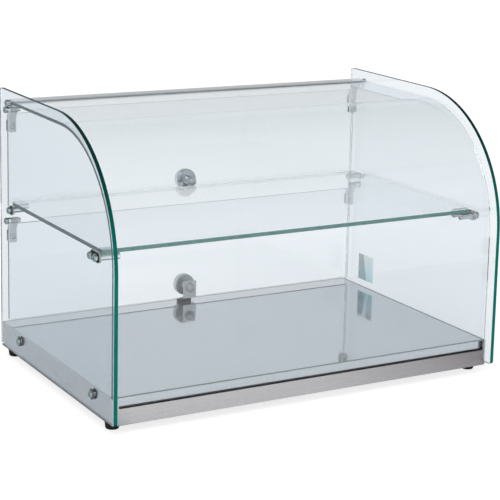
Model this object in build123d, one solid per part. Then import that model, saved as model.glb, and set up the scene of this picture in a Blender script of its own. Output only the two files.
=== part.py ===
from build123d import *
import math
import os

# A countertop display case: two side glasses, a curved front glass, a glass shelf and
# two top-hinged glass doors at the rear, on a folded steel base with four rubber feet.
# Millimetres. X runs to the right of someone who faces the front, Y to the rear, Z up.
# The origin is on the floor, under the middle of the whole case with its knobs.

# Overall sizes
case_width = 554.0  # over the outer faces of the side glasses
case_depth = 361.0  # side glass, front edge to rear edge
case_height = 365.0  # floor to the top of the side glass at its rear edge
foot_height = 11.0
base_height = 34.0  # underside of the base to the top of the deck

# Thicknesses
side_thickness = 5.0
front_thickness = 4.0
shelf_thickness = 5.0
door_thickness = 4.0
sheet = 1.0  # folded steel of the base and the deck

# Side glass outline
top_slope = 0.6  # degrees that the top edge falls towards the front
side_radius = 171.0  # the large curve from the top edge to the front edge
side_glass_lift = 3.0  # bottom edge above the underside of the base
rear_top_corner = 3.0
rear_bottom_corner = 5.0
front_bottom_corner = 4.0

# Base, deck and the slot for the front glass
base_side_gap = 0.4  # side glass to the wall of the base
base_overhang = 2.5  # rear wall of the base behind the side glass
lip_setback = 9.0  # front edge of the side glass to the face of the front lip
lip_height = 21.2  # front lip, above the underside of the base
post_width = 5.5  # full-height strip at each end of the front lip
post_round = 2.0
wall_corner = 3.0  # outside radius of the upright corners
nest_gap = 0.3  # deck flange to the wall that it stands in
flange_depth = 24.0  # side and rear flanges of the deck
bend_radius = 1.0  # inside radius of every fold
gasket_wall = 0.7
gasket_floor = 2.0
gasket_show = 1.3  # gasket above the front lip

# Front glass and top rail
front_radius = 156.0  # outer face of the curved front glass
front_drop = 13.7  # outer face of the front glass below the top edge of the side glass
front_side_gap = 2.2  # front glass to each side glass
rail_setback = 20.5  # rear edge of the side glass to the rear face of the rail
rail_depth = 22.0
rail_lip = 1.0
rail_floor = 1.5
groove_depth = 7.0
glass_play = 0.4  # round the front glass in the groove of the rail
rail_side_gap = 0.5
rail_bolt_setback = 9.5  # rear face of the rail to its bolts

# Shelf and its supports
shelf_above_deck = 170.5  # top face of the shelf above the deck
shelf_side_gap = 5.6
shelf_rear_setback = 24.3
shelf_length = 286.0  # rear edge to front edge
shelf_corner = 2.0
front_support_inset = 8.0  # front edge of the shelf to the middle of the support
rear_support_inset = 9.7
pin_spacing = 15.0  # the two pins of a front support
pin_radius = 4.0
pin_length = 22.0
pin_end_bevel = 0.8
plate_thickness = 2.5
plate_margin = 6.5  # round each pin of the support plate

# Bolts through the side glasses
bolt_radius = 2.5
head_radius = 4.75
head_height = 2.75
head_rim = 0.9  # straight rim under the bevel of the head
head_flat_radius = 3.0
thread_play = 0.05
thread_fill = 0.8  # share of a blind threaded hole that its bolt fills
bush_wall = 1.3
bush_stand = 0.8  # bush outside the glass, under the head of the bolt
base_flange_radius = 6.6
bush_play = 0.1
nut_thickness = 3.0
nut_flats = 8.0
rail_thread = 14.0
pin_thread = 10.0
base_bolt_front_inset = 62.0  # front edge of the side glass to the base bolts
base_bolt_rear_inset = 66.0
base_bolt_drop = 8.7  # deck to the base bolts
base_bolt_tail = 2.0

# Door hinges
door_side_gap = 4.4
door_recess = 11.1  # rear edge of the side glass to the outer face of the doors
axis_setback = 9.9  # hinge axis in front of the inner face of the doors
upper_axis_drop = 26.0  # top of the side glass to the upper hinge axis
lower_axis_drop = 25.0  # top of the shelf to the lower hinge axis
door_top_drop = 7.5  # hinge axis to the top edge of the door
door_floor_gap = 6.0  # deck to the lower door
door_split_play = 0.9  # swing of the lower door to the upper door
door_corner = 2.0
pivot_radius = 3.2
pivot_play = 0.05
pivot_overrun = 4.0  # inner side of the clamp to the end of the pivot
pivot_flange = 2.4
pivot_flats = 7.4
pivot_bevel = 0.5
pivot_bolt_radius = 2.0
pivot_thread = 11.0
clamp_gap = 1.1  # flange of the pivot to the door clamp
clamp_width = 9.2
clamp_depth = 6.3  # block of the clamp, front to rear
clamp_top_drop = 6.0  # hinge axis to the top of the block
clamp_drop = 31.0  # hinge axis to the bottom of the clamp
clamp_round = 1.2
knuckle_radius = 4.3
neck_thickness = 3.7
pad_thickness = 0.5
backing_thickness = 1.5
backing_top_drop = 15.0  # hinge axis to the top of the backing plate
clamp_screw_drop = 22.5
clamp_screw_radius = 1.6
clamp_screw_head_radius = 3.8
clamp_screw_head = 1.8
clamp_hole_play = 1.2  # round the screw in the glass and the pads

# Knobs, strike plate and magnetic catch
knob_above_edge = 15.0  # bottom edge of the door to the knob
knob_radius = 15.0
knob_thickness = 11.0
knob_reach = 22.0  # outer face of the door to the end of the knob
knob_neck_radius = 6.0
knob_edge_round = 3.0
knob_back_bevel = 1.5
knob_thread = 12.0
stud_radius = 2.0
stud_hole_play = 1.0
cap_nut_radius = 7.0
cap_nut_length = 8.0
cap_nut_rim = 2.5
cap_nut_thread = 5.2
strike_width = 20.0
strike_above_knob = 9.0
strike_thickness = 1.0
strike_foot = 8.5
strike_below_edge = 0.6  # bottom edge of the lower door to the foot of the strike plate
catch_width = 20.0
catch_depth = 7.5
catch_offset = -7.4
catch_gap = 0.3
magnet_length = 14.0
magnet_width = 4.5
magnet_depth = 2.0

# Feet
foot_radius = 9.6
foot_tip_radius = 8.2
foot_tip_bevel = 1.0
foot_side_inset = 9.6  # side wall of the base to the middle of a foot
foot_front_inset = 36.0  # front edge of the side glass to the middle of a front foot
foot_rear_inset = 12.5
foot_screw_radius = 2.0
foot_screw_head_radius = 4.0
foot_screw_head = 2.2
foot_screw_tail = 1.0
foot_recess_radius = 5.0
foot_recess_depth = 5.0
foot_nut_thickness = 3.0
foot_nut_flats = 7.0

# Blank film on the right side glass
film_size = 38.0
film_thickness = 0.2
film_rear_inset = 37.5
film_above_deck = 9.5

# Levels and planes that the pieces share
half_width = case_width / 2
inner_x = half_width - side_thickness
front_y = -(case_depth + knob_reach - door_recess) / 2
rear_y = front_y + case_depth
base_z = foot_height
deck_z = base_z + base_height
wall_x = inner_x - base_side_gap
base_rear_y = rear_y + base_overhang
lip_y = front_y + lip_setback
lip_top_z = base_z + lip_height
glass_front_y = lip_y + sheet + gasket_wall
riser_y = glass_front_y + front_thickness + gasket_wall
deck_x = wall_x - sheet - nest_gap
deck_rear_y = base_rear_y - sheet - nest_gap
shelf_z = deck_z + shelf_above_deck
shelf_rear_y = rear_y - shelf_rear_setback
shelf_front_y = shelf_rear_y - shelf_length
pin_z = shelf_z - shelf_thickness - pin_radius
door_outer_y = rear_y - door_recess
door_inner_y = door_outer_y - door_thickness
axis_y = door_inner_y - axis_setback
upper_axis_z = case_height - upper_axis_drop
lower_axis_z = shelf_z - lower_axis_drop
slope_rise = math.tan(math.radians(top_slope))
slope_stretch = 1 / math.cos(math.radians(top_slope))
rail_rear_y = rear_y - rail_setback
rail_front_y = rail_rear_y - rail_depth
door_half_width = inner_x - door_side_gap
clamp_outer_x = -(inner_x - pivot_flange - clamp_gap)
clamp_inner_x = clamp_outer_x + clamp_width
clamp_face_y = door_inner_y - pad_thickness - clamp_depth
backing_y = door_outer_y + pad_thickness
bush_radius = bolt_radius + bush_play + bush_wall


def side_top_z(y):
    """Height of the side glass's top edge at y."""
    return case_height - (rear_y - y) * slope_rise


def front_top_z(y):
    """Height of the front glass's outer face at y, on its straight top."""
    return side_top_z(y) - front_drop * slope_stretch


rail_groove_top_z = front_top_z(rail_front_y) + glass_play
rail_groove_floor_z = front_top_z(rail_front_y) - front_thickness - 2 * glass_play
rail_top_z = rail_groove_top_z + rail_lip
rail_bottom_z = rail_groove_floor_z - rail_floor
rail_bolt_place = (rail_rear_y - rail_bolt_setback, (rail_top_z + rail_bottom_z) / 2)
hinge_places = [(axis_y, upper_axis_z), (axis_y, lower_axis_z)]
front_support_y = shelf_front_y + front_support_inset
pin_places = {
    "front": [(front_support_y + side * pin_spacing / 2, pin_z) for side in (-1, 1)],
    "rear": [(shelf_rear_y - rear_support_inset, pin_z)],
}
base_bolt_places = [
    (front_y + base_bolt_front_inset, deck_z - base_bolt_drop),
    (rear_y - base_bolt_rear_inset, deck_z - base_bolt_drop),
]

# The open lower door lies flat behind its axis, so the upper door ends above it
lower_door_z = (deck_z + door_floor_gap, lower_axis_z - door_top_drop)
upper_door_z = (
    lower_axis_z + axis_setback + door_thickness + door_split_play,
    upper_axis_z - door_top_drop,
)


def rounded_face(corners):
    """Flat face through (u, v, radius) corners, each rounded by a tangent arc."""
    starts, ends, edges = [], [], []
    for i, (u, v, radius) in enumerate(corners):
        here = Vector(u, v)
        to_before = (Vector(*corners[i - 1][:2]) - here).normalized()
        to_after = (Vector(*corners[(i + 1) % len(corners)][:2]) - here).normalized()
        half = math.radians(to_before.get_angle(to_after)) / 2
        starts.append(here + to_before * (radius / math.tan(half)))
        ends.append(here + to_after * (radius / math.tan(half)))
        if radius > 0:
            centre = here + (to_before + to_after).normalized() * (radius / math.sin(half))
            middle = centre + (here - centre).normalized() * radius
            edges.append(ThreePointArc(starts[i], middle, ends[i]))
    for i, end in enumerate(ends):
        following = starts[(i + 1) % len(starts)]
        if (following - end).length > 1e-6:
            edges.append(Line(end, following))
    return make_face(edges)


def along_x(face, x0, x1):
    """Extrudes a face drawn in (y, z) from x0 to x1."""
    return Pos(x0, 0, 0) * extrude(Plane.YZ * face, x1 - x0)


def along_y(face, y0, y1):
    """Extrudes a face drawn in (x, z) from y0 to y1."""
    return Pos(0, y1, 0) * extrude(Plane.XZ * face, y1 - y0)


def block(x0, x1, y0, y1, z0, z1):
    """Box between two corners."""
    size = Box(x1 - x0, y1 - y0, z1 - z0)
    return Pos((x0 + x1) / 2, (y0 + y1) / 2, (z0 + z1) / 2) * size


def bent_block(x, y0, y1, z0, z1, corner, bend, level):
    """Box of half width x with rounded upright corners and one rounded rim, 0 low or -1 high."""
    solid = block(-x, x, y0, y1, z0, z1)
    solid = fillet(solid.edges().filter_by(Axis.Z), corner)
    return fillet(solid.edges().group_by(Axis.Z)[level], bend)


def rod_x(x0, x1, place, radius):
    """Round rod along X at (y, z)."""
    return Pos((x0 + x1) / 2, *place) * Rot(0, 90, 0) * Cylinder(radius, abs(x1 - x0))


def rod_y(y0, y1, place, radius):
    """Round rod along Y at (x, z)."""
    x, z = place
    return Pos(x, (y0 + y1) / 2, z) * Rot(90, 0, 0) * Cylinder(radius, abs(y1 - y0))


def rod_z(z0, z1, place, radius):
    """Round rod along Z at (x, y)."""
    return Pos(*place, (z0 + z1) / 2) * Cylinder(radius, z1 - z0)


def mirrored(solid):
    """The same piece on the right side of the case."""
    return mirror(solid, Plane.YZ)


def both_sides(solids):
    """Left pieces and their mirror images, as one group of separate solids."""
    return Compound(children=[*solids, *[mirrored(s) for s in solids]])


def side_glass_plate():
    """Left side glass, with the holes for every bolt that passes through it."""
    bottom = base_z + side_glass_lift
    outline = rounded_face([
        (front_y, bottom, front_bottom_corner),
        (front_y, side_top_z(front_y), side_radius),
        (rear_y, side_top_z(rear_y), rear_top_corner),
        (rear_y, bottom, rear_bottom_corner),
    ])
    plate = along_x(outline, -half_width, -inner_x)
    for place, _ in bolt_places():
        plate -= rod_x(-half_width, -inner_x, place, bush_radius + bush_play)
    return plate


def bolt_places():
    """Every bolt through the left side glass, with the outer radius of its bush."""
    small = [rail_bolt_place, *hinge_places, *pin_places["front"], *pin_places["rear"]]
    return [(p, bush_radius) for p in small] + [(p, base_flange_radius) for p in base_bolt_places]


def curved_front_glass():
    """Front glass: upright from its slot, one large curve, then back to the rail."""
    rear = rail_front_y + groove_depth - glass_play
    bottom = base_z + sheet + gasket_floor
    t = front_thickness
    face = rounded_face([
        (rear, front_top_z(rear), 0),
        (glass_front_y, front_top_z(glass_front_y), front_radius),
        (glass_front_y, bottom, 0),
        (glass_front_y + t, bottom, 0),
        (glass_front_y + t, front_top_z(glass_front_y + t) - t * slope_stretch, front_radius - t),
        (rear, front_top_z(rear) - t * slope_stretch, 0),
    ])
    width = inner_x - front_side_gap
    return along_x(face, -width, width)


def front_gasket():
    """Black channel seal round the bottom edge of the front glass."""
    low = base_z + sheet
    top = lip_top_z + gasket_show
    half = wall_x - wall_corner - nest_gap
    face = rounded_face([
        (lip_y + sheet, low, bend_radius + nest_gap),
        (riser_y, low, 0),
        (riser_y, top, 0),
        (riser_y - gasket_wall, top, 0),
        (riser_y - gasket_wall, low + gasket_floor, 0),
        (glass_front_y, low + gasket_floor, 0),
        (glass_front_y, top, 0),
        (lip_y + sheet, top, 0),
    ])
    return along_x(face, -half, half)


def top_rail():
    """Bar across the rear top, grooved for the rear edge of the front glass."""
    half = inner_x - rail_side_gap
    bar = block(-half, half, rail_front_y, rail_rear_y, rail_bottom_z, rail_top_z)
    bar = fillet(bar.edges().filter_by(Axis.X), rail_lip / 2)
    groove_rear = rail_front_y + groove_depth
    bar -= block(-half, half, rail_front_y, groove_rear, rail_groove_floor_z, rail_groove_top_z)
    for side in (-1, 1):
        bar -= rod_x(side * half, side * (half - rail_thread), rail_bolt_place, bolt_radius + thread_play)
    return bar


def lip_cut():
    """What is missing from the front wall of the base above its lip, with rounded ends."""
    x, over = wall_x - post_width, post_width
    face = rounded_face([
        (-x, lip_top_z, post_round),
        (x, lip_top_z, post_round),
        (x, deck_z, post_round),
        (x + over, deck_z, 0),
        (x + over, deck_z + over, 0),
        (-x - over, deck_z + over, 0),
        (-x - over, deck_z, 0),
        (-x, deck_z, post_round),
    ])
    return along_y(face, lip_y - sheet, lip_y + sheet)


def base_shell():
    """Folded steel tray as high as the deck, with its front wall cut down to a lip."""
    bend = bend_radius + sheet
    shell = bent_block(wall_x, lip_y, base_rear_y, base_z, deck_z, wall_corner, bend, 0)
    shell -= bent_block(
        wall_x - sheet,
        lip_y + sheet,
        base_rear_y - sheet,
        base_z + sheet,
        deck_z + sheet,
        wall_corner - sheet,
        bend_radius,
        0,
    )
    shell -= lip_cut()
    for y, z in base_bolt_places:
        shell -= rod_x(-wall_x - sheet, wall_x + sheet, (y, z), bolt_radius + bush_play)
    for x, y in foot_places().values():
        shell -= rod_z(base_z, base_z + sheet, (x, y), foot_screw_radius + bush_play)
    return shell


def deck_tray():
    """Polished deck with a front riser and flanges that stand inside the base shell."""
    low = base_z + sheet + nest_gap
    corner, bend = wall_corner - sheet / 2, bend_radius + sheet
    deck = bent_block(deck_x, riser_y, deck_rear_y, low, deck_z, corner, bend, -1)
    deck -= bent_block(
        deck_x - sheet,
        riser_y + sheet,
        deck_rear_y - sheet,
        low - sheet,
        deck_z - sheet,
        corner - sheet,
        bend_radius,
        -1,
    )
    flange_low = deck_z - flange_depth
    deck -= block(-wall_x, wall_x, riser_y + corner, base_rear_y, low - sheet, flange_low)
    for y, z in base_bolt_places:
        deck -= rod_x(-wall_x, wall_x, (y, z), bolt_radius + bush_play)
    return deck


def shelf_plate():
    """Loose glass shelf that rests on the pins."""
    half = inner_x - shelf_side_gap
    plate = block(-half, half, shelf_front_y, shelf_rear_y, shelf_z - shelf_thickness, shelf_z)
    return fillet(plate.edges().filter_by(Axis.Z), shelf_corner)


def support_plate(end):
    """Plate against the left side glass under the pins: oblong for two, round for one."""
    places = pin_places[end]
    (y0, z), (y1, _) = places[0], places[-1]
    x0, x1 = -inner_x, -inner_x + plate_thickness
    plate = rod_x(x0, x1, places[0], plate_margin)
    if y1 > y0:
        plate += block(x0, x1, y0, y1, z - plate_margin, z + plate_margin)
        plate += rod_x(x0, x1, places[-1], plate_margin)
    for place in places:
        plate -= rod_x(x0, x1, place, bolt_radius + bush_play)
    return plate


def support_pin(place):
    """Round pin with a bevelled end, tapped for the bolt from outside."""
    x0 = -inner_x + plate_thickness
    x1 = x0 + pin_length
    pin = rod_x(x0, x1, place, pin_radius)
    pin = chamfer(pin.edges().sort_by(Axis.X)[-1], pin_end_bevel)
    return pin - rod_x(x0, x0 + pin_thread, place, bolt_radius + thread_play)


def button_head(place):
    """Low round bolt head with a bevelled face, outside the left side glass."""
    seat = -half_width - bush_stand
    outline = rounded_face([
        (seat, 0, 0),
        (seat, head_radius, 0),
        (seat - head_rim, head_radius, 0),
        (seat - head_height, head_flat_radius, 0),
        (seat - head_height, 0, 0),
    ])
    return Pos(0, *place) * revolve(outline, Axis.X)


def glass_bolt(place, end_x, radius=bolt_radius):
    """Bolt from outside the left side glass to end_x."""
    return button_head(place) + rod_x(-half_width - bush_stand, end_x, place, radius)


def glass_bush(place, outer_radius):
    """Clear bush that keeps one bolt off the glass, flanged outside where that is wider."""
    bush = rod_x(-half_width - bush_stand, -inner_x, place, bush_radius)
    if outer_radius > bush_radius:
        bush += rod_x(-half_width - bush_stand, -half_width, place, outer_radius)
    return bush - rod_x(-half_width - bush_stand, -inner_x, place, bolt_radius + bush_play)


def hexagon(x0, x1, flats, place):
    """Hexagon bar along X."""
    bar = extrude(RegularPolygon(flats / 2, 6, major_radius=False), x1 - x0)
    return Pos(x0, *place) * Rot(0, 90, 0) * bar


def base_nut(place):
    """Nut inside the flange of the deck, on a bolt through the base."""
    x0 = -deck_x + sheet
    nut = hexagon(x0, x0 + nut_thickness, nut_flats, place)
    return nut - rod_x(x0, x0 + nut_thickness, place, bolt_radius + thread_play)


def hinge_pin(place):
    """Pivot inside the glass: a hexagon foot and a round pin, bolted from outside."""
    foot_end = -inner_x + pivot_flange
    pin_end = clamp_inner_x + pivot_overrun
    pin = rod_x(foot_end, pin_end, place, pivot_radius)
    pin = chamfer(pin.edges().sort_by(Axis.X)[-1], pivot_bevel)
    pin += hexagon(-inner_x, foot_end, pivot_flats, place)
    return pin - rod_x(-inner_x, -inner_x + pivot_thread, place, pivot_bolt_radius + thread_play)


def door_pane(low, high, holes):
    """Glass door with its screw and stud holes, as (x, z, radius)."""
    pane = block(-door_half_width, door_half_width, door_inner_y, door_outer_y, low, high)
    pane = fillet(pane.edges().filter_by(Axis.Y), door_corner)
    for x, z, radius in holes:
        pane -= rod_y(door_inner_y, door_outer_y, (x, z), radius)
    return pane


def clamp_screw_place(axis_z):
    """The left clamp's screw, as (x, z)."""
    return (clamp_outer_x + clamp_inner_x) / 2, axis_z - clamp_screw_drop


def door_holes(axis_z, low):
    """Holes of one door: two for the clamps and one for the knob."""
    x, z = clamp_screw_place(axis_z)
    radius = clamp_screw_radius + clamp_hole_play
    return [(x, z, radius), (-x, z, radius), (0, low + knob_above_edge, stud_radius + stud_hole_play)]


def clamp_body(axis_z):
    """Cranked clamp: a knuckle on the pivot, a neck and a block in front of the glass."""
    x0, x1 = clamp_outer_x, clamp_inner_x
    y0, y1 = clamp_face_y, clamp_face_y + clamp_depth
    top = axis_z - clamp_top_drop
    body = block(x0, x1, y0, y1, axis_z - clamp_drop, top)
    body = fillet(body.edges().group_by(Axis.Z)[0].filter_by(Axis.Y), clamp_round)
    neck_rear = axis_y + knuckle_radius
    body += block(x0, x1, neck_rear - neck_thickness, neck_rear, top - clamp_depth / 2, axis_z)
    body += rod_x(x0, x1, (axis_y, axis_z), knuckle_radius)
    body -= rod_x(x0, x1, (axis_y, axis_z), pivot_radius + pivot_play)
    return body - rod_y(y0, y1, clamp_screw_place(axis_z), clamp_screw_radius + thread_play)


def clamp_backing(axis_z):
    """Thin plate behind the glass that the clamp screw pulls up."""
    y0, y1 = backing_y, backing_y + backing_thickness
    low, top = axis_z - clamp_drop, axis_z - backing_top_drop
    plate = block(clamp_outer_x, clamp_inner_x, y0, y1, low, top)
    plate = fillet(plate.edges().filter_by(Axis.Y), clamp_round)
    return plate - rod_y(y0, y1, clamp_screw_place(axis_z), clamp_screw_radius + thread_play)


def clamp_pads(axis_z):
    """Rubber pads on both faces of the glass under the clamp."""
    low = axis_z - clamp_drop + clamp_round
    pads = []
    for y0, drop in (
        (door_inner_y - pad_thickness, door_top_drop),
        (door_outer_y, backing_top_drop + clamp_round),
    ):
        y1 = y0 + pad_thickness
        pad = block(clamp_outer_x, clamp_inner_x, y0, y1, low, axis_z - drop)
        pads.append(pad - rod_y(y0, y1, clamp_screw_place(axis_z), clamp_screw_radius + clamp_hole_play))
    return pads


def clamp_screw(axis_z):
    """Pan-head screw through the clamp, the glass and the backing plate."""
    x, z = clamp_screw_place(axis_z)
    top = clamp_face_y - clamp_screw_head
    screw = rod_y(clamp_face_y, backing_y + backing_thickness, (x, z), clamp_screw_radius)
    head = rod_y(top, clamp_face_y, (x, z), clamp_screw_head_radius)
    return screw + chamfer(head.edges().sort_by(Axis.Y)[0], clamp_screw_head / 2)


def door_knob(place):
    """Round knob outside the door: a neck against the glass and a thick disc."""
    y0 = door_outer_y
    disc = y0 + knob_reach - knob_thickness
    knob = rod_y(y0, disc, place, knob_neck_radius)
    top = rod_y(disc, y0 + knob_reach, place, knob_radius)
    top = chamfer(top.edges().sort_by(Axis.Y)[0], knob_back_bevel)
    top = fillet(top.edges().sort_by(Axis.Y)[-1], knob_edge_round)
    return knob + top - rod_y(y0, y0 + knob_thread, place, stud_radius + thread_play)


def knob_stud(place, nut_y):
    """Threaded stud from the cap nut to the knob."""
    inner_end = nut_y - cap_nut_thread * thread_fill
    return rod_y(inner_end, door_outer_y + knob_thread * thread_fill, place, stud_radius)


def cap_nut(place, nut_y):
    """Domed nut inside the door."""
    x, z = place
    far = nut_y - cap_nut_length
    rim = nut_y - cap_nut_rim
    dome_height = cap_nut_length - cap_nut_rim
    dome_radius = (cap_nut_radius**2 + dome_height**2) / (2 * dome_height)
    turn = math.asin(cap_nut_radius / dome_radius) / 2
    shoulder = (dome_radius * math.sin(turn), far + dome_radius * (1 - math.cos(turn)))
    profile = make_face([
        Line((0, nut_y), (0, far)),
        ThreePointArc((0, far), shoulder, (cap_nut_radius, rim)),
        Line((cap_nut_radius, rim), (cap_nut_radius, nut_y)),
        Line((cap_nut_radius, nut_y), (0, nut_y)),
    ])
    dome = Pos(x, 0, z) * revolve(profile, Axis.Y)
    return dome - rod_y(nut_y - cap_nut_thread, nut_y, place, stud_radius + thread_play)


def strike_plate(place):
    """Bent plate under the lower cap nut, with a foot under the edge of the glass."""
    x, z = place
    t = strike_thickness
    low, high = lower_door_z[0] - strike_below_edge - t, z + strike_above_knob
    y0, y1, foot = door_inner_y - t, door_inner_y, door_inner_y + strike_foot
    inside = strike_below_edge / 2
    face = rounded_face([
        (y0, high, 0),
        (y0, low, inside + t),
        (foot, low, 0),
        (foot, low + t, 0),
        (y1, low + t, inside),
        (y1, high, 0),
    ])
    plate = along_x(face, x - strike_width / 2, x + strike_width / 2)
    return plate - rod_y(y0, y1, place, stud_radius + bush_play)


def catch_box():
    """Where the magnetic catch stands on the deck: (x0, x1, y0, y1, z0, z1)."""
    top = lower_door_z[0] - strike_below_edge - strike_thickness - catch_gap
    y0 = door_inner_y - strike_thickness
    x0 = catch_offset - catch_width / 2
    return x0, x0 + catch_width, y0, y0 + catch_depth, deck_z, top


def magnet_box():
    """The magnet, flush with the top of the catch."""
    x0, x1, y0, y1, _, top = catch_box()
    x, y = (x0 + x1) / 2, (y0 + y1) / 2
    long, wide = magnet_length / 2, magnet_width / 2
    return x - long, x + long, y - wide, y + wide, top - magnet_depth, top


def catch_housing():
    """Dark plastic block with a pocket for the magnet."""
    housing = block(*catch_box())
    housing = fillet(housing.edges().filter_by(Axis.Z), clamp_round)
    return housing - block(*magnet_box())


def foot_places():
    """Centres of the four feet, by name."""
    x = wall_x - foot_side_inset
    front, rear = front_y + foot_front_inset, rear_y - foot_rear_inset
    return {
        "front_left": (-x, front),
        "front_right": (x, front),
        "rear_left": (-x, rear),
        "rear_right": (x, rear),
    }


def rubber_foot(place):
    """Tapered rubber foot with a bevelled tip and a recess for its screw."""
    foot = Pos(*place, foot_height / 2) * Cone(foot_tip_radius, foot_radius, foot_height)
    foot = chamfer(foot.edges().sort_by(Axis.Z)[0], foot_tip_bevel)
    foot -= rod_z(0, foot_recess_depth, place, foot_recess_radius)
    return foot - rod_z(foot_recess_depth, foot_height, place, foot_screw_radius + bush_play)


def foot_screw(place):
    """Screw from the recess of a foot up into its nut."""
    top = base_z + sheet + foot_nut_thickness + foot_screw_tail
    screw = rod_z(foot_recess_depth, top, place, foot_screw_radius)
    low = foot_recess_depth - foot_screw_head
    return screw + rod_z(low, foot_recess_depth, place, foot_screw_head_radius)


def foot_nut(place):
    """Nut on the floor of the base."""
    z0 = base_z + sheet
    nut = Pos(*place, z0) * extrude(
        RegularPolygon(foot_nut_flats / 2, 6, major_radius=False), foot_nut_thickness
    )
    return nut - rod_z(z0, z0 + foot_nut_thickness, place, foot_screw_radius + thread_play)


def blank_film():
    """Blank translucent film on the inside of the right side glass."""
    y1 = rear_y - film_rear_inset
    z0 = deck_z + film_above_deck
    return block(inner_x - film_thickness, inner_x, y1 - film_size, y1, z0, z0 + film_size)


def side_fixings():
    """Bolts, bushes and what they screw into, on both side glasses."""
    rail_end = -inner_x + rail_side_gap + rail_thread * thread_fill
    hinge_end = -inner_x + pivot_thread * thread_fill
    base_end = -deck_x + sheet + nut_thickness + base_bolt_tail
    shelf_end = -inner_x + plate_thickness + pin_thread * thread_fill
    all_pins = pin_places["front"] + pin_places["rear"]
    return {
        "rail_bolts": both_sides([glass_bolt(rail_bolt_place, rail_end)]),
        "hinge_bolts": both_sides([glass_bolt(p, hinge_end, pivot_bolt_radius) for p in hinge_places]),
        "hinge_pins": both_sides([hinge_pin(place) for place in hinge_places]),
        "base_bolts": both_sides([glass_bolt(place, base_end) for place in base_bolt_places]),
        "base_bolt_nuts": both_sides([base_nut(place) for place in base_bolt_places]),
        "shelf_support_bolts": both_sides([glass_bolt(place, shelf_end) for place in all_pins]),
        "glass_bushes": both_sides([glass_bush(place, radius) for place, radius in bolt_places()]),
    }


def shelf_supports():
    """Support plates and pins at the four corners of the shelf."""
    pieces = {}
    for end, places in pin_places.items():
        plate = support_plate(end)
        pins = [support_pin(place) for place in places]
        for side, turn in (("left", lambda solid: solid), ("right", mirrored)):
            pieces[f"{end}_{side}_support_plate"] = turn(plate)
            name = "pins" if len(pins) > 1 else "pin"
            pieces[f"{end}_{side}_support_{name}"] = Compound(children=[turn(pin) for pin in pins])
    return pieces


def case_pieces():
    """Everything that stands still."""
    left = side_glass_plate()
    feet = foot_places()
    pieces = {
        "base_shell": base_shell(),
        "deck_tray": deck_tray(),
        "left_side_glass": left,
        "right_side_glass": mirrored(left),
        "curved_front_glass": curved_front_glass(),
        "front_glass_gasket": front_gasket(),
        "top_rail": top_rail(),
        "shelf_glass": shelf_plate(),
        "foot_screws": Compound(children=[foot_screw(place) for place in feet.values()]),
        "foot_nuts": Compound(children=[foot_nut(place) for place in feet.values()]),
        "catch_housing": catch_housing(),
        "catch_magnet": block(*magnet_box()),
        "blank_film": blank_film(),
    }
    for name, place in feet.items():
        pieces[f"{name}_foot"] = rubber_foot(place)
    return pieces | side_fixings() | shelf_supports()


def door_pieces(name, axis_z, low, high):
    """Pane, clamps, knob and fixings of one door."""
    knob_place = (0, low + knob_above_edge)
    nut_y = door_inner_y - (strike_thickness if name == "lower" else 0)
    body = clamp_body(axis_z)
    pieces = {
        f"{name}_door_glass": door_pane(low, high, door_holes(axis_z, low)),
        f"{name}_left_door_clamp": body,
        f"{name}_right_door_clamp": mirrored(body),
        f"{name}_door_backing_plates": both_sides([clamp_backing(axis_z)]),
        f"{name}_door_clamp_pads": both_sides(clamp_pads(axis_z)),
        f"{name}_door_clamp_screws": both_sides([clamp_screw(axis_z)]),
        f"{name}_door_knob": door_knob(knob_place),
        f"{name}_knob_stud": knob_stud(knob_place, nut_y),
        f"{name}_knob_cap_nut": cap_nut(knob_place, nut_y),
    }
    if name == "lower":
        pieces["lower_strike_plate"] = strike_plate(knob_place)
    return pieces


def main():
    """Writes one STEP file for each piece."""
    os.makedirs("parts", exist_ok=True)
    pieces = case_pieces()
    pieces |= door_pieces("upper", upper_axis_z, *upper_door_z)
    pieces |= door_pieces("lower", lower_axis_z, *lower_door_z)
    for name, piece in pieces.items():
        export_step(piece, f"parts/{name}.step")


main()
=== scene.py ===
import math
import bmesh
import bpy
from mathutils import Matrix, Vector


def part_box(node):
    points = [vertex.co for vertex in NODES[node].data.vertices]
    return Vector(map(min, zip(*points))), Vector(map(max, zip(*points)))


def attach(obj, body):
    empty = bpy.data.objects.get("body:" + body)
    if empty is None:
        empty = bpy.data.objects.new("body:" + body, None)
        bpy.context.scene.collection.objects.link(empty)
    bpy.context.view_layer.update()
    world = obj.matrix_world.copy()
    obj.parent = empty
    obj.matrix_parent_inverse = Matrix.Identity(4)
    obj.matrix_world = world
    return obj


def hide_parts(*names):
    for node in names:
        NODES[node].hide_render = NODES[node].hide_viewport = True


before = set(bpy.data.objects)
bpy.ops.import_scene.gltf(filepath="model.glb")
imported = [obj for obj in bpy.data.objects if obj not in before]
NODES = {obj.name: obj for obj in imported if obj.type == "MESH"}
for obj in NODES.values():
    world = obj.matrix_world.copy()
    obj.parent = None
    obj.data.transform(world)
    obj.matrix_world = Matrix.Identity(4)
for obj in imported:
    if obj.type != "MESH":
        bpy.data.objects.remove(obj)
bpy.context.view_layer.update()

MM = 0.001

# Material slots of the record
GLASS_SLOT = "glass"
METAL_SLOT = "fitting_chrome"
RUBBER_SLOT = "rubber"

# The camera was fitted to the photograph: place in metres, angles in radians, lengths in pixels
CAM_AT = (-1.03625, -1.82484, 0.68201)
CAM_YAW, CAM_PITCH, CAM_ROLL = 0.51819, -0.19316, 0.02235
CAM_F, CAM_CX, CAM_CY, SIDE = 1625.9, 250.0, 165.0, 500.0

# Sizes of the fasteners in millimetres, as in the CAD
HEAD_HEIGHT = 2.75
HEAD_RADIUS = 4.75
BOLT_RADIUS = 2.5
HINGE_BOLT_RADIUS = 2.0
THREAD_PITCH = 0.8
THREAD_DEPTH = 0.3

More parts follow.
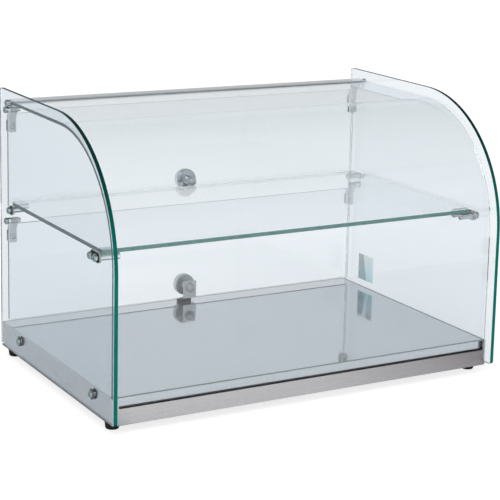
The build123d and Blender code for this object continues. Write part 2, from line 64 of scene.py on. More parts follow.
# Sizes of the front glass in metres and radians, as in the CAD
FRONT_THICKNESS = 4.0 * MM
FRONT_RADIUS = 156.0 * MM
FRONT_FALL = math.radians(0.6)
CURVE_STEPS = 72

# Colour that light keeps on its way through glass, and how strongly it turns to it (per metre)
GLASS_TINT = (0.55, 0.66, 0.735, 1)
GLASS_DENSITY = 60.0
SHELF_DENSITY = 15.0

# Greens of a side glass's edge, from its upright front to its level top: the glass's own green, darkened
# towards the level top by painted shade
SIDE_EDGE_GREENS_WITH_SHADE = (
    (0.0, (0.0, 0.190, 0.150)),
    (0.2, (0.0, 0.150, 0.115)),
    (0.45, (0.0, 0.090, 0.072)),
    (0.7, (0.0, 0.040, 0.036)),
    (0.97, (0.004, 0.024, 0.025)),
    (1.0, (0.045, 0.080, 0.086)),
)
# Pale rear edge of a side glass: painted light
SIDE_REAR_PAINTED_LIGHT = (0.72, 0.80, 0.81, 1)
# Pale rear edge of the shelf: painted light
SHELF_REAR_PAINTED_LIGHT = (0.70, 0.80, 0.79, 1)
SHELF_GREEN = (0.27, 0.56, 0.50)
# Pale end of a glass pane: painted light
PAINTED_LIT_END = (0.80, 0.86, 0.86)

# Colours of the surroundings over their height, from level (0) to straight up (1)
SKY = (
    (0.0, (1, 1, 1)),
    (0.1, (0.96, 0.97, 0.98)),
    (0.36, (0.93, 0.95, 0.96)),
    (0.55, (0.56, 0.60, 0.55)),
    (0.75, (0.30, 0.34, 0.26)),
    (1.0, (0.15, 0.18, 0.12)),
)

# Tones of the floor in metal mirrors, over x from -0.5 m (0) to 0.5 m (1)
FLOOR_TONES = (
    (0.0, (0.24, 0.31, 0.35)),
    (0.22, (0.28, 0.35, 0.39)),
    (0.27, (0.88, 0.88, 0.88)),
    (0.55, (0.87, 0.87, 0.87)),
    (0.72, (0.62, 0.61, 0.62)),
    (0.82, (0.36, 0.35, 0.36)),
    (1.0, (0.30, 0.29, 0.30)),
)


# Shader nodes

def new_material(name):
    mat = bpy.data.materials.new(name)
    mat.use_nodes = True
    mat.node_tree.nodes.clear()
    return mat, mat.node_tree


def add(tree, kind, inputs=None, **settings):
    """Adds a node; inputs maps a socket's name or number to a value or to another node's socket."""
    node = tree.nodes.new(kind)
    for key, value in settings.items():
        setattr(node, key, value)
    for key, value in (inputs or {}).items():
        socket = node.inputs[key]
        if isinstance(value, bpy.types.NodeSocket):
            tree.links.new(value, socket)
        else:
            socket.default_value = value
    return node


def finish_material(tree, shader, volume=None):
    out = add(tree, "ShaderNodeOutputMaterial", {"Surface": shader})
    if volume is not None:
        tree.links.new(volume, out.inputs["Volume"])


def math_node(tree, operation, *values):
    return add(tree, "ShaderNodeMath", dict(enumerate(values)), operation=operation).outputs[0]


def multiply(tree, first, second):
    return math_node(tree, "MULTIPLY", first, second)


def multiply_add(tree, value, factor, offset):
    return math_node(tree, "MULTIPLY_ADD", value, factor, offset)


def object_place(tree):
    """(x, y, z) sockets of a point's place in its own object, in metres."""
    coords = add(tree, "ShaderNodeTexCoord")
    return add(tree, "ShaderNodeSeparateXYZ", {0: coords.outputs["Object"]}).outputs


def noise(tree, scale, detail=3.0, stretch=(1, 1, 1)):
    """Noise over the object's own metres, drawn out where stretch is small."""
    coords = add(tree, "ShaderNodeTexCoord")
    mapping = add(tree, "ShaderNodeMapping", {"Vector": coords.outputs["Object"], "Scale": stretch})
    inputs = {"Vector": mapping.outputs[0], "Scale": scale, "Detail": detail}
    return add(tree, "ShaderNodeTexNoise", inputs).outputs["Fac"]


def ramp(tree, fac, *stops):
    """Colour ramp through (place, colour) stops."""
    node = add(tree, "ShaderNodeValToRGB", {"Fac": fac})
    elements = node.color_ramp.elements
    while len(elements) < len(stops):
        elements.new(0.5)
    for element, (place, colour) in zip(elements, stops):
        element.position = place
        element.color = (*colour, 1)
    return node.outputs["Color"]


def mottled(tree, spots, low, high):
    """Colour that wanders between two colours with a noise."""
    return ramp(tree, spots, (0.3, low), (0.7, high))


def grey(value):
    return (value, value, value)


def scaled(colour, factor):
    return tuple(min(1.0, c * factor) for c in colour)


def blend_colours(tree, fac, first, second, blend="MIX"):
    inputs = {0: fac, 6: first, 7: second}
    return add(tree, "ShaderNodeMix", inputs, data_type="RGBA", blend_type=blend).outputs[2]


def blend_shaders(tree, fac, first, second):
    return add(tree, "ShaderNodeMixShader", {0: fac, 1: first, 2: second}).outputs[0]


def fine_relief(tree, height, strength):
    inputs = {"Height": height, "Strength": strength, "Distance": 0.2 * MM}
    return add(tree, "ShaderNodeBump", inputs).outputs[0]


# Ground edges of glass: side_edges and the like give the weight and the colour of a pane's edges; the
# colour is the glass's own tone with painted light and shade by the face's direction

FACING = 0.7  # a part of a normal above this means that the face looks that way
FAR_THINNING = -0.85
DOOR_EDGE_WEIGHT = 0.35


def outward_normal(tree):
    """Parts of a face's outward direction, the same when it is seen through the glass from inside."""
    geometry = add(tree, "ShaderNodeNewGeometry")
    turn = multiply_add(tree, geometry.outputs["Backfacing"], -2.0, 1.0)
    parts = add(tree, "ShaderNodeSeparateXYZ", {0: geometry.outputs["True Normal"]})
    return [multiply(tree, part, turn) for part in parts.outputs]


def size_of(tree, value):
    return math_node(tree, "ABSOLUTE", value)


def from_zero(tree, value):
    """Moves -1...1 to 0...1."""
    return multiply_add(tree, value, 0.5, 0.5)


def faces(tree, part):
    """1 where a part of the normal shows that a face looks that way."""
    return math_node(tree, "GREATER_THAN", part, FACING)


def off_axis(tree, part):
    """1 on the faces that don't look along the part's axis, either way."""
    return math_node(tree, "LESS_THAN", size_of(tree, part), FACING)


def thinned(tree, weight, far):
    """Lets more light through the edges that far picks, which are seen through the glass."""
    return multiply(tree, weight, multiply_add(tree, far, FAR_THINNING, 1.0))


def side_edges(tree, normal):
    """Deep green on the upright front edge, darkening to near black round the curve as painted shade, and
    pale at the rear as painted light.
    """
    x, y, z = normal
    green = ramp(tree, size_of(tree, z), *SIDE_EDGE_GREENS_WITH_SHADE)
    rear = faces(tree, y)
    return thinned(tree, off_axis(tree, x), rear), blend_colours(tree, rear, green, SIDE_REAR_PAINTED_LIGHT)


def front_ends(tree, normal):
    """Painted shade makes the left end of the curved glass grey, and painted light makes its right end
    pale.
    """
    x = normal[0]
    colour = ramp(tree, from_zero(tree, x), (0.1, (0.085, 0.115, 0.125)), (0.9, PAINTED_LIT_END))
    return thinned(tree, faces(tree, size_of(tree, x)), faces(tree, x)), colour


def shelf_edges(tree, normal):
    """Green along the front, darkened at the left end by painted shade, and pale at the right end and the
    rear as painted light.
    """
    x, y, z = normal
    front = ramp(tree, from_zero(tree, x), (0.05, (0.10, 0.16, 0.175)), (0.2, SHELF_GREEN),
                 (0.8, SHELF_GREEN), (0.95, PAINTED_LIT_END))
    rear = faces(tree, y)
    far = math_node(tree, "MAXIMUM", rear, faces(tree, x))
    return thinned(tree, off_axis(tree, z), far), blend_colours(tree, rear, front, SHELF_REAR_PAINTED_LIGHT)


def door_edges(tree, normal):
    """Pale ground edges that let most of the light through, with painted light making the upward edges
    paler than the downward ones.
    """
    colour = ramp(tree, from_zero(tree, normal[2]), (0.1, (0.42, 0.50, 0.53)), (0.9, (0.50, 0.58, 0.60)))
    return multiply(tree, off_axis(tree, normal[1]), DOOR_EDGE_WEIGHT), colour


# Materials

def glass_material(name, cut_edges, density=GLASS_DENSITY):
    """Clear glass; cut_edges gives the weight and the colour of its ground edges, a colour that holds
    painted light and shade.
    """
    mat, tree = new_material(name)
    smears = noise(tree, scale=9.0, detail=4.0)
    clear = add(tree, "ShaderNodeBsdfPrincipled", {
        "Base Color": (1, 1, 1, 1), "Roughness": multiply(tree, smears, 0.004),
        "IOR": 1.5, "Transmission Weight": 1.0,
    })
    weight, colour = cut_edges(tree, outward_normal(tree))
    grain = mottled(tree, noise(tree, scale=260.0, detail=2.0), grey(0.82), grey(1))
    edge = add(tree, "ShaderNodeBsdfPrincipled", {
        "Base Color": blend_colours(tree, 1.0, colour, grain, "MULTIPLY"),
        "Roughness": 0.4, "IOR": 1.5, "Specular IOR Level": 0.05,
    })
    absorb = add(tree, "ShaderNodeVolumeAbsorption", {"Color": GLASS_TINT, "Density": density})
    surface = blend_shaders(tree, weight, clear.outputs[0], edge.outputs[0])
    finish_material(tree, surface, absorb.outputs[0])
    return mat


def brushed_metal(name, colour, rough, contrast=0.05, bump=0.02, metallic=1.0):
    """Steel with a fine grain along X and a slow change of polish."""
    mat, tree = new_material(name)
    grain = noise(tree, scale=900.0, stretch=(0.02, 1, 1))
    broad = noise(tree, scale=6.0, detail=2.0)
    spread = multiply_add(tree, grain, rough * 0.5, rough * 0.6)
    shader = add(tree, "ShaderNodeBsdfPrincipled", {
        "Base Color": mottled(tree, grain, scaled(colour, 1 - contrast), scaled(colour, 1 + contrast)),
        "Metallic": metallic,
        "Roughness": multiply_add(tree, broad, rough * 0.3, spread),
        "Normal": fine_relief(tree, grain, bump),
    })
    finish_material(tree, shader.outputs[0])
    return mat


def plain_material(name, low, high, rough, scale, bump=0.1, **extra):
    """Plastic, rubber or plated metal with a little unevenness; extra names more sockets of the shader."""
    mat, tree = new_material(name)
    spots = noise(tree, scale, detail=4.0)
    shader = add(tree, "ShaderNodeBsdfPrincipled", {
        "Base Color": mottled(tree, spots, low, high),
        "Roughness": multiply_add(tree, spots, rough * 0.4, rough * 0.8),
        "Normal": fine_relief(tree, spots, bump),
    } | {key.replace("_", " "): value for key, value in extra.items()})
    finish_material(tree, shader.outputs[0])
    return mat


def film_material():
    """Thin frosted film, a little darker towards its lower edge."""
    frosting, unevenness = 0.12, 0.1
    mat, tree = new_material("film")
    low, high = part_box("blank_film")
    rise = math_node(tree, "SUBTRACT", object_place(tree)[2], low[2])
    height = math_node(tree, "DIVIDE", rise, high[2] - low[2])
    place = multiply_add(tree, noise(tree, scale=120.0), unevenness, height)
    frost = add(tree, "ShaderNodeBsdfPrincipled", {
        "Base Color": ramp(tree, place, (0.0, (0.78, 0.86, 0.88)), (1.0, (0.90, 0.95, 0.96))),
        "Roughness": 0.5,
    })
    thin = add(tree, "ShaderNodeBsdfTransparent", {
        "Color": ramp(tree, place, (0.0, (0.84, 0.96, 0.98)), (1.0, (0.98, 1.0, 1.0))),
    })
    finish_material(tree, blend_shaders(tree, frosting, thin.outputs[0], frost.outputs[0]))
    return mat


side_glass = glass_material("side_glass", side_edges)
front_glass = glass_material("front_glass", front_ends)
shelf_glass = glass_material("shelf_glass", shelf_edges, SHELF_DENSITY)
door_glass = glass_material("door_glass", door_edges)
film = film_material()

deck_steel = brushed_metal("deck_steel", (0.635, 0.66, 0.69), 0.06, contrast=0.03, bump=0.01, metallic=0.8)
base_steel = brushed_metal("base_steel", (0.57, 0.56, 0.575), 0.28, contrast=0.03)
rail_metal = brushed_metal("rail_metal", (0.76, 0.78, 0.80), 0.25)

chrome = plain_material(
    "chrome", (0.80, 0.82, 0.84), (0.88, 0.90, 0.92), rough=0.05, scale=60.0, bump=0.02, Metallic=1.0)
plate_steel = plain_material(
    "plate_steel", (0.88, 0.89, 0.89), (0.94, 0.95, 0.95), rough=0.3, scale=90.0, bump=0.02, Metallic=0.5)
screw_steel = plain_material(
    "screw_steel", (0.50, 0.52, 0.54), (0.60, 0.62, 0.64), rough=0.1, scale=90.0, bump=0.02, Metallic=1.0)
# The two knobs are one metal: painted shade darkens the upper knob and painted light brightens the lower
# one
upper_knob = plain_material(
    "upper_knob", (0.74, 0.76, 0.78), (0.82, 0.84, 0.86), rough=0.18, scale=90.0, bump=0.03, Metallic=0.7)
lower_knob = plain_material(
    "lower_knob", (0.92, 0.93, 0.92), (0.97, 0.98, 0.97), rough=0.25, scale=90.0, bump=0.03, Metallic=0.2)
pale_nut = plain_material(
    "pale_nut", (0.88, 0.90, 0.90), (0.94, 0.96, 0.96), rough=0.2, scale=90.0, bump=0.02, Metallic=0.1)
# Darker copy of the chrome for the support pins on the right: painted shade
shaded_pin_steel = plain_material(
    "shaded_pin_steel", (0.46, 0.47, 0.49), (0.56, 0.57, 0.59), rough=0.08, scale=60.0, bump=0.02, Metallic=1.0)
magnet = plain_material(
    "magnet", (0.2, 0.2, 0.21), (0.3, 0.3, 0.31), rough=0.3, scale=200.0, bump=0.05, Metallic=1.0)
rubber = plain_material(
    "rubber", (0.006, 0.006, 0.007), (0.018, 0.018, 0.019), rough=0.65, scale=300.0, bump=0.2)
dark_plastic = plain_material(
    "dark_plastic", (0.065, 0.066, 0.076), (0.09, 0.092, 0.104), rough=0.45, scale=200.0)
smoked_plastic = plain_material(
    "smoked_plastic", (0.13, 0.14, 0.15), (0.18, 0.19, 0.20), rough=0.25, scale=80.0, bump=0.02,
    Transmission_Weight=0.3)


def paint(mat, *names):
    for name in names:
        data = NODES[name].data
        data.materials.clear()
        data.materials.append(mat)


def named(*keys):
    """CAD nodes whose names hold one of the keys."""
    return [name for name in NODES if any(key in name for key in keys)]


# The other nodes are replaced by the pieces below
paint(side_glass, "left_side_glass", "right_side_glass")
paint(shelf_glass, "shelf_glass")
paint(door_glass, "upper_door_glass", "lower_door_glass")
paint(film, "blank_film")
paint(deck_steel, "deck_tray")
paint(base_steel, "base_shell")
paint(rail_metal, "top_rail")
paint(chrome, *named("nuts", "stud"))
paint(plate_steel, *named("support_plate", "left_door_clamp", "right_door_clamp", "backing", "strike"))
paint(screw_steel, "foot_screws")
paint(rubber, *named("pads"))
paint(dark_plastic, "catch_housing")
paint(magnet, "catch_magnet")
paint(smoked_plastic, "glass_bushes")


# Places of the CAD's solids

SAME_PLACE = 1e-6
SORT_DIGITS = 5


def take_linked(waiting):
    """Takes one solid's vertices out of the waiting set, and gives their places."""
    stack = [waiting.pop()]
    places = []
    while stack:
        vert = stack.pop()
        places.append(vert.co.copy())
        for edge in vert.link_edges:
            other = edge.other_vert(vert)
            if other in waiting:
                waiting.remove(other)
                stack.append(other)
    return places


def solid_boxes(node):
    """(lowest, highest) corner of each separate solid of a CAD node, in metres, in a fixed order."""
    bm = bmesh.new()
    bm.from_mesh(NODES[node].data)
    bmesh.ops.remove_doubles(bm, verts=bm.verts, dist=SAME_PLACE)
    waiting = set(bm.verts)
    boxes = []
    while waiting:
        places = take_linked(waiting)
        boxes.append([Vector(pick(place[k] for place in places) for k in range(3)) for pick in (min, max)])
    bm.free()
    return sorted(boxes, key=lambda box: tuple(round(c, SORT_DIGITS) for c in box[0]))


def side_fasteners(node):
    """For each fastener along X: side of the case (-1 or 1), (y, z) middle, inner and outer end, radius."""
    places = []
    for low, high in solid_boxes(node):
        side = math.copysign(1, low.x + high.x)
        inner, outer = sorted((abs(low.x), abs(high.x)))
        radius = (high.z - low.z) / MM / 2
        places.append((side, (low.y + high.y) / 2, (low.z + high.z) / 2, inner, outer, radius))
    return places


# Turned forms

CROSS_ARM = 0.3


def outline_radius(shape, turn):
    """Distance from the middle to a ring's outline, for a size of 1, at an angle."""
    if shape == "hexagon":
        sixth = math.radians(60)
        return math.cos(sixth / 2) / math.cos(turn % sixth - sixth / 2)
    if shape == "cross":
        across, along = sorted((abs(math.sin(turn)), abs(math.cos(turn))))
        return 1 / along if across / along < CROSS_ARM else CROSS_ARM / across
    return 1.0


def ring_places(centre, side, other, radius, shape, segments):
    """Places on a ring's outline, or just its middle when its radius is 0; radius in millimetres."""
    if radius == 0:
        return [centre]
    places = []
    for k in range(segments):
        turn = 2 * math.pi * k / segments
        r = radius * MM * outline_radius(shape, turn)
        places.append(centre + side * r * math.cos(turn) + other * r * math.sin(turn))
    return places


def join_rings(bm, before, ring, segments):
    for k in range(segments):
        corners = [before[k % len(before)], before[(k + 1) % len(before)]]
        corners += [ring[(k + 1) % len(ring)], ring[k % len(ring)]]
        bm.faces.new(list(dict.fromkeys(corners)))


def turned(bm, origin, axis, rings, segments=48):
    """Adds a turned form to bm: rings are (distance along axis, radius, shape), in millimetres."""
    axis = Vector(axis)
    side = Vector((0, 0, 1)) if axis.z == 0 else Vector((1, 0, 0))
    other = axis.cross(side)
    before = None
    for distance, radius, *shape in rings:
        centre = Vector(origin) + axis * distance * MM
        places = ring_places(centre, side, other, radius, shape[0] if shape else "round", segments)
        ring = [bm.verts.new(place) for place in places]
        if before:
            join_rings(bm, before, ring, segments)
        before = ring


def arc(centre_along, centre_radius, size, start, end, steps):
    """Ring places on an arc; angles in degrees, 0 outward from the axis and 90 along it."""
    places = []
    for k in range(steps + 1):
        turn = math.radians(start + (end - start) * k / steps)
        places.append((centre_along + size * math.sin(turn), centre_radius + size * math.cos(turn)))
    return places


def sunk(length, *steps):
    """Rings at (depth, radius, shape) steps below a form's end."""
    return [(length - depth, *rest) for depth, *rest in steps]


def threaded(end, radius):
    """Rings of a thread, drawn as a row of ridges."""
    rings = [(0, radius)]
    count = int(end / THREAD_PITCH) - 1
    for k in range(count):
        at = THREAD_PITCH * (k + 0.5)
        rings += [(at, radius), (at + THREAD_PITCH / 2, radius - THREAD_DEPTH)]
    return rings + [(end - THREAD_DEPTH, radius), (end, radius - THREAD_DEPTH), (end, 0)]


def new_piece(name, bm, mat, body, slot, *replaced):
    """Turns bm into a piece that rides on a body in place of CAD nodes."""
    sharp_from = math.radians(32)
    bmesh.ops.recalc_face_normals(bm, faces=bm.faces)
    mesh = bpy.data.meshes.new(name)
    bm.to_mesh(mesh)
    bm.free()
    mesh.polygons.foreach_set("use_smooth", [True] * len(mesh.polygons))
    mesh.set_sharp_from_angle(angle=sharp_from)
    mesh.materials.append(mat)
    obj = bpy.data.objects.new(name, mesh)
    bpy.context.scene.collection.objects.link(obj)
    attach(obj, body)
    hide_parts(*replaced)


# Fasteners of the case

def button_head():
    """Rings of a button head with a hexagon socket, from its seat outward."""
    bevel, rim, crown = 0.2, 0.8, 2.6
    flat, mouth, socket = 2.25, 1.73, 1.6
    rings = [(0, 0), (0, HEAD_RADIUS - bevel), (bevel, HEAD_RADIUS)]
    rings += arc(rim, HEAD_RADIUS - crown, crown, start=0, end=48, steps=6)
    return rings + sunk(HEAD_HEIGHT, (0, flat), (0, mouth, "hexagon"), (0.25, socket, "hexagon"),
                        (1.6, socket, "hexagon"), (2.0, 0))


def glass_bolts(node, shank_radius):
    """Button-head bolts through the side glasses, each on its CAD solid."""
    bm = bmesh.new()
    for side, y, z, inner, outer, _ in side_fasteners(node):
        seat = outer / MM - HEAD_HEIGHT
        origin = (side * seat * MM, y, z)
        turned(bm, origin, (side, 0, 0), button_head())
        turned(bm, origin, (-side, 0, 0), [(0, 0)] + threaded(seat - inner / MM, shank_radius), segments=24)
    new_piece(node + "_turned", bm, chrome, "case", METAL_SLOT, node)


def pin_rings(length, radius):
    """Rings of a pin with a rounded, dimpled end."""
    bevel, end = 0.2, 1.1
    rings = [(0, 0), (0, radius - bevel), (bevel, radius), (length - end, radius)]
    rings += arc(length - end, radius - end, end, start=15, end=90, steps=5)
    return rings + sunk(length, (0, 2.0), (0.3, 1.75), (1.3, 1.5), (1.7, 0))


def support_pins(node):
    """Pins that the shelf rests on; those on the right are darker as painted shade, as in the photograph.
    """
    bm = bmesh.new()
    for side, y, z, inner, outer, radius in side_fasteners(node):
        turned(bm, (side * outer, y, z), (-side, 0, 0), pin_rings((outer - inner) / MM, radius))
    metal = shaded_pin_steel if "right" in node else chrome
    new_piece(node + "_turned", bm, metal, "case", METAL_SLOT, node)


def hinge_pin_rings(length):
    """Rings of a hexagon foot with chamfered corners and the round pin that a clamp turns on."""
    foot, flats, chamfer = 2.4, 3.7, 0.35
    pin, bevel = 3.2, 0.5
    corner = flats / math.cos(math.radians(30))
    return [
        (0, 0), (0, corner, "hexagon"), (foot - chamfer, corner, "hexagon"), (foot, flats * 0.97),
        (foot, pin), (length - bevel, pin), (length, pin - bevel), (length, 0),
    ]


def hinge_pins():
    bm = bmesh.new()
    for side, y, z, inner, outer, _ in side_fasteners("hinge_pins"):
        turned(bm, (side * outer, y, z), (-side, 0, 0), hinge_pin_rings((outer - inner) / MM))
    new_piece("hinge_pins_turned", bm, chrome, "case", METAL_SLOT, "hinge_pins")


def rubber_foot(node):
    """Tapered foot with a rounded tip, a moulding line and a recess for its screw."""
    low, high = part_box(node)
    x, y = (low[0] + high[0]) / 2, (low[1] + high[1]) / 2
    height, top, tip = (high[2] - low[2]) / MM, 9.6, 8.2
    end, recess, recess_depth, bevel = 1.5, 5.0, 5.0, 0.3
    rings = sunk(height, (0, 0), (0, top - 0.2), (0.2, top), (2.0, top - 0.25), (2.2, top - 0.45),
                 (2.4, top - 0.3))
    rings.append((end, tip + 0.15))
    rounding = arc(0, tip - end, end, start=10, end=90, steps=6)
    rings += [(end - along, radius) for along, radius in rounding]
    rings += [(0, recess + bevel), (bevel, recess), (recess_depth, recess), (recess_depth, 0)]
    bm = bmesh.new()
    turned(bm, (x, y, 0), (0, 0, 1), rings)
    new_piece(node + "_turned", bm, rubber, "case", RUBBER_SLOT, node)


# Fasteners and knobs of the doors

def pan_head_screw(length):
    """Rings of a screw, from its pan head with a cross recess to its tip."""
    head, radius, crown = 1.8, 3.8, 1.3
    shank, bevel = 1.6, 0.2
    rings = [(length, 0), (length, shank - bevel), (length - 0.3, shank), (head, shank)]
    rings += [(head, radius - 0.1), (head - bevel, radius)]
    rounding = arc(0, radius - crown, crown, start=0, end=90, steps=5)
    rings += [(crown - along, r) for along, r in rounding]
    return rings + [(0.0, 2.3, "cross"), (0.25, 2.1, "cross"), (1.1, 1.5, "cross"), (1.4, 0)]


def clamp_screws(door):
    node = door + "_clamp_screws"
    bm = bmesh.new()
    for low, high in solid_boxes(node):
        x, z = (low.x + high.x) / 2, (low.z + high.z) / 2
        turned(bm, (x, low.y, z), (0, 1, 0), pan_head_screw((high.y - low.y) / MM))
    new_piece(node + "_turned", bm, screw_steel, door, METAL_SLOT, node)


def knob_rings():
    """Rings of a knob with a dished face, and of its short neck against the glass."""
    reach, thick, radius = 22.0, 11.0, 15.0
    neck, bevel, flare = 6.0, 0.3, 1.2
    back_edge, front_edge, dish = 1.6, 3.0, 0.7
    back = reach - thick
    rings = [(0, 0), (0, neck - bevel), (bevel, neck), (back - flare, neck)]
    rings += [(back - 0.4, neck + 0.3), (back, neck + flare)]
    rings += arc(back + back_edge, radius - back_edge, back_edge, start=-90, end=0, steps=5)
    rings += arc(reach - front_edge, radius - front_edge, front_edge, start=0, end=90, steps=7)
    return rings + sunk(reach, (0, radius - 4.0), (0.5, radius - 5.0), (dish, 4.0), (dish, 0))


def door_knob(door, metal):
    node = door + "_knob"
    low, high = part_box(node)
    x, z = (low[0] + high[0]) / 2, (low[2] + high[2]) / 2
    bm = bmesh.new()
    turned(bm, (x, low[1], z), (0, 1, 0), knob_rings(), segments=64)
    new_piece(node + "_turned", bm, metal, door, METAL_SLOT, node)


def domed_nut_rings(length):
    """Rings of a domed nut with a thin collar."""
    radius, collar, steps = 7.0, 2.4, 8
    rim = radius - 0.15
    rings = [(0, 0), (0, rim), (0.15, radius), (0.9, radius), (1.05, radius - 0.35),
             (1.3, radius - 0.35), (1.45, radius - 0.1), (collar, rim)]
    rise = length - collar
    dome = (rim**2 + rise**2) / (2 * rise)
    widest = math.degrees(math.asin(rim / dome))
    for k in range(1, steps + 1):
        turn = math.radians(widest * (1 - k / steps))
        rings.append((length - dome + dome * math.cos(turn), dome * math.sin(turn)))
    return rings


def cap_nut(door):
    node = door.split("_")[0] + "_knob_cap_nut"
    low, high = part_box(node)
    x, z = (low[0] + high[0]) / 2, (low[2] + high[2]) / 2
    bm = bmesh.new()
    turned(bm, (x, high[1], z), (0, -1, 0), domed_nut_rings((high[1] - low[1]) / MM))
    new_piece(node + "_turned", bm, pale_nut, door, METAL_SLOT, node)


# Front glass and its seal

def bent_face(low, high, inset):
    """(y, z) places on a face of the front glass, from its rear top edge to its foot."""
    middle_y = low[1] + FRONT_RADIUS
    fallen = math.tan(FRONT_FALL) * (high[1] - middle_y)
    middle_z = high[2] - fallen - FRONT_RADIUS / math.cos(FRONT_FALL)
    radius = FRONT_RADIUS - inset
    places = [(high[1], high[2] - inset / math.cos(FRONT_FALL))]
    for k in range(CURVE_STEPS + 1):
        turn = FRONT_FALL + (math.radians(90) - FRONT_FALL) * k / CURVE_STEPS
        places.append((middle_y - radius * math.sin(turn), middle_z + radius * math.cos(turn)))
    return places + [(low[1] + inset, low[2])]


def curved_glass():
    """Front glass with a finely divided curve, so that it mirrors the room without steps."""
    node = "curved_front_glass"
    low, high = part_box(node)
    bm = bmesh.new()
    sheets = [[[bm.verts.new((x, y, z)) for y, z in bent_face(low, high, inset)] for x in (low[0], high[0])]
              for inset in (0.0, FRONT_THICKNESS)]
    (outer_left, outer_right), (inner_left, inner_right) = sheets
    around = (outer_left, outer_right, inner_right, inner_left, outer_left)
    for a, b in zip(around, around[1:]):
        for k in range(len(a) - 1):
            bm.faces.new((a[k], a[k + 1], b[k + 1], b[k]))
    for k in (0, -1):
        bm.faces.new((outer_left[k], outer_right[k], inner_right[k], inner_left[k]))
    new_piece(node + "_bent", bm, front_glass, "case", GLASS_SLOT, node)


def seal_outline(low, high):
    """(y, z) outline of the seal: a channel round the foot of the front glass, with softened rims."""
    glass_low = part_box("curved_front_glass")[0]
    front, foot = glass_low[1], glass_low[2]
    back = front + FRONT_THICKNESS
    chamfer, soft = MM, 0.3 * MM
    top = high[2] - 0.9 * MM
    return [
        (low[1], low[2] + chamfer), (low[1] + chamfer, low[2]), (high[1], low[2]),
        (high[1], top - soft), (high[1] - soft, top), (back, top - soft), (back, foot),
        (front, foot), (front, top - soft), (low[1] + soft, top), (low[1], top - soft),
    ]


def channel_seal():
    node = "front_glass_gasket"
    low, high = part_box(node)
    bm = bmesh.new()
    left, right = ([bm.verts.new((x, y, z)) for y, z in seal_outline(low, high)] for x in (low[0], high[0]))
    for k in range(len(left)):
        bm.faces.new((left[k - 1], left[k], right[k], right[k - 1]))
    bm.faces.new(left)
    bm.faces.new(right)
    new_piece(node + "_channel", bm, rubber, "case", RUBBER_SLOT, node)


for node in ("rail_bolts", "base_bolts", "shelf_support_bolts"):
    glass_bolts(node, BOLT_RADIUS)
glass_bolts("hinge_bolts", HINGE_BOLT_RADIUS)
for node in named("support_pin"):
    support_pins(node)
hinge_pins()
# The upper knob gets the painted shade copy of the knob metal, the lower knob the painted light copy
for door, knob_painted_light_copy in (("upper_door", upper_knob), ("lower_door", lower_knob)):
    clamp_screws(door)
    door_knob(door, knob_painted_light_copy)
    cap_nut(door)
for node in named("_foot"):
    rubber_foot(node)
curved_glass()
channel_seal()


# Camera, light and surroundings

ONE_BOUNCE = 0.5  # a count above this is one bounce or more
MIRROR_DIMMING = -0.36
LIGHT_STRENGTH = 0.7


def make_camera():
    """Camera at the photograph's angle, with its shift."""
    cp, sp = math.cos(CAM_PITCH), math.sin(CAM_PITCH)
    forward = Vector((math.sin(CAM_YAW) * cp, math.cos(CAM_YAW) * cp, sp))
    right = Vector((math.cos(CAM_YAW), -math.sin(CAM_YAW), 0))
    up = right.cross(forward)
    cr, sr = math.cos(CAM_ROLL), math.sin(CAM_ROLL)
    right, up = right * cr + up * sr, up * cr - right * sr
    data = bpy.data.cameras.new("camera")
    data.sensor_width = 36.0
    data.lens = CAM_F / SIDE * data.sensor_width
    data.shift_x = (SIDE / 2 - CAM_CX) / SIDE
    data.shift_y = (CAM_CY - SIDE / 2) / SIDE
    data.clip_start, data.clip_end = 0.05, 60.0
    camera = bpy.data.objects.new("camera", data)
    rotation = Matrix((right, up, -forward)).transposed()
    camera.matrix_world = Matrix.Translation(CAM_AT) @ rotation.to_4x4()
    bpy.context.scene.collection.objects.link(camera)
    bpy.context.scene.camera = camera


def aim(obj, at, target):
    """Places an object and turns its -Z side to a target."""
    obj.location = at
    obj.rotation_euler = (Vector(target) - Vector(at)).to_track_quat("-Z", "Y").to_euler()


def area_light(name, at, target, size, power):
    """Soft light that leaves no patch of its own in the glass."""
    data = bpy.data.lights.new(name, "AREA")
    data.shape, data.size, data.size_y = "RECTANGLE", *size
    data.energy = power
    obj = bpy.data.objects.new(name, data)
    aim(obj, at, target)
    bpy.context.scene.collection.objects.link(obj)
    obj.visible_glossy = False


def ray_kinds(tree):
    """1 for what is seen straight or through glass, and 1 for mirror images that no glass is before.

    Both are 0 for rays that only carry light.
    """
    path = add(tree, "ShaderNodeLightPath")
    unlit = math_node(tree, "LESS_THAN", path.outputs["Diffuse Depth"], ONE_BOUNCE)
    through = math_node(tree, "GREATER_THAN", path.outputs["Transmission Depth"], ONE_BOUNCE)
    seen = multiply(tree, through, unlit)
    shown = math_node(tree, "MAXIMUM", path.outputs["Is Camera Ray"], seen)
    mirror = multiply(tree, path.outputs["Is Glossy Ray"], unlit)
    return shown, multiply(tree, mirror, math_node(tree, "SUBTRACT", 1.0, through))


def make_world():
    """White near the horizon and darker above; mirror images that no glass is before are dimmer."""
    world = bpy.data.worlds.new("studio")
    world.use_nodes = True
    tree = world.node_tree
    tree.nodes.clear()
    coords = add(tree, "ShaderNodeTexCoord")
    height = add(tree, "ShaderNodeSeparateXYZ", {0: coords.outputs["Generated"]}).outputs[2]
    shown, mirrored = ray_kinds(tree)
    strength = multiply_add(tree, mirrored, MIRROR_DIMMING, 1.0)
    seen = add(tree, "ShaderNodeBackground", {"Color": ramp(tree, height, *SKY), "Strength": strength})
    light = add(tree, "ShaderNodeBackground", {"Color": (0.98, 0.99, 1.0, 1), "Strength": LIGHT_STRENGTH})
    looked_at = math_node(tree, "MAXIMUM", shown, mirrored)
    surface = blend_shaders(tree, looked_at, light.outputs[0], seen.outputs[0])
    add(tree, "ShaderNodeOutputWorld", {"Surface": surface})
    bpy.context.scene.world = world


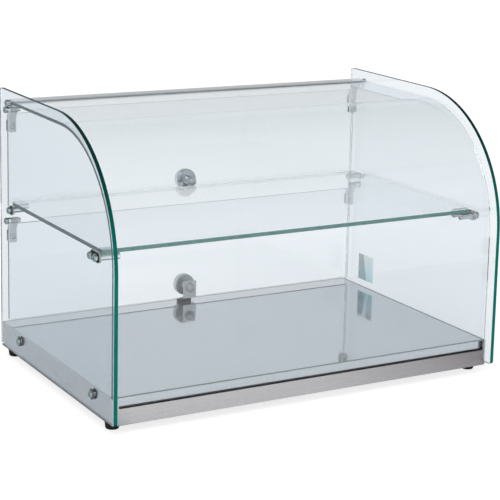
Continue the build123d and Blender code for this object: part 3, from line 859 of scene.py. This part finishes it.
def flat_sheet(name, size):
    """Flat sheet in its own XY plane."""
    w, h = size[0] / 2, size[1] / 2
    mesh = bpy.data.meshes.new(name)
    mesh.from_pydata([(-w, -h, 0), (w, -h, 0), (w, h, 0), (-w, h, 0)], [], [(0, 1, 2, 3)])
    obj = bpy.data.objects.new(name, mesh)
    bpy.context.scene.collection.objects.link(obj)
    return obj


def diffuse(tree, colour):
    return add(tree, "ShaderNodeBsdfDiffuse", {"Color": colour}).outputs[0]


def glowing(tree, colour, glow, strength):
    """Diffuse colour that keeps the shadow, with a glow that lifts it."""
    light = add(tree, "ShaderNodeEmission", {"Color": glow, "Strength": strength})
    return add(tree, "ShaderNodeAddShader", {0: diffuse(tree, colour), 1: light.outputs[0]}).outputs[0]


def make_floor():
    """White floor with the case's soft shadow; in metal it is bluer on the left and darker on the right."""
    floor = flat_sheet("floor", (16.0, 16.0))
    mat, tree = new_material("floor")
    spots = noise(tree, scale=3.0, detail=2.0)
    bounce = diffuse(tree, mottled(tree, spots, grey(0.88), grey(0.92)))
    plain_tone = mottled(tree, spots, grey(0.38), grey(0.4))
    plain = glowing(tree, plain_tone, glow=(1, 1, 1, 1), strength=0.78)
    across = math_node(tree, "ADD", object_place(tree)[0], 0.5)
    tone = ramp(tree, across, *FLOOR_TONES)
    mirror_image = glowing(tree, tone, glow=tone, strength=0.22)
    shown, mirrored = ray_kinds(tree)
    surface = blend_shaders(tree, shown, bounce, plain)
    finish_material(tree, blend_shaders(tree, mirrored, surface, mirror_image))
    floor.data.materials.append(mat)


def reflection_card(name, at, target, size, colour):
    """Card beside the set that only shows in reflections."""
    obj = flat_sheet(name, size)
    aim(obj, at, target)
    mat, tree = new_material(name)
    patches = noise(tree, scale=1.5, detail=1.0)
    shade = mottled(tree, patches, scaled(colour, 0.9), scaled(colour, 1.1))
    finish_material(tree, add(tree, "ShaderNodeEmission", {"Color": shade, "Strength": 1.0}).outputs[0])
    obj.data.materials.append(mat)
    obj.visible_camera = obj.visible_diffuse = obj.visible_transmission = obj.visible_shadow = False


make_camera()
make_world()
make_floor()
area_light("key", at=(-1.2, -1.6, 2.2), target=(0, 0, 0.15), size=(1.6, 1.2), power=26.0)
reflection_card("flag_right", at=(2.3, -1.9, 0.4), target=(0.2, 0, 0.1), size=(1.5, 1.6),
                colour=(0.16, 0.15, 0.16))
reflection_card("flag_left", at=(-2.2, 1.3, 0.5), target=(-0.2, 0, 0.1), size=(1.6, 1.4),
                colour=(0.30, 0.34, 0.38))

bpy.context.scene.view_settings.view_transform = "Standard"
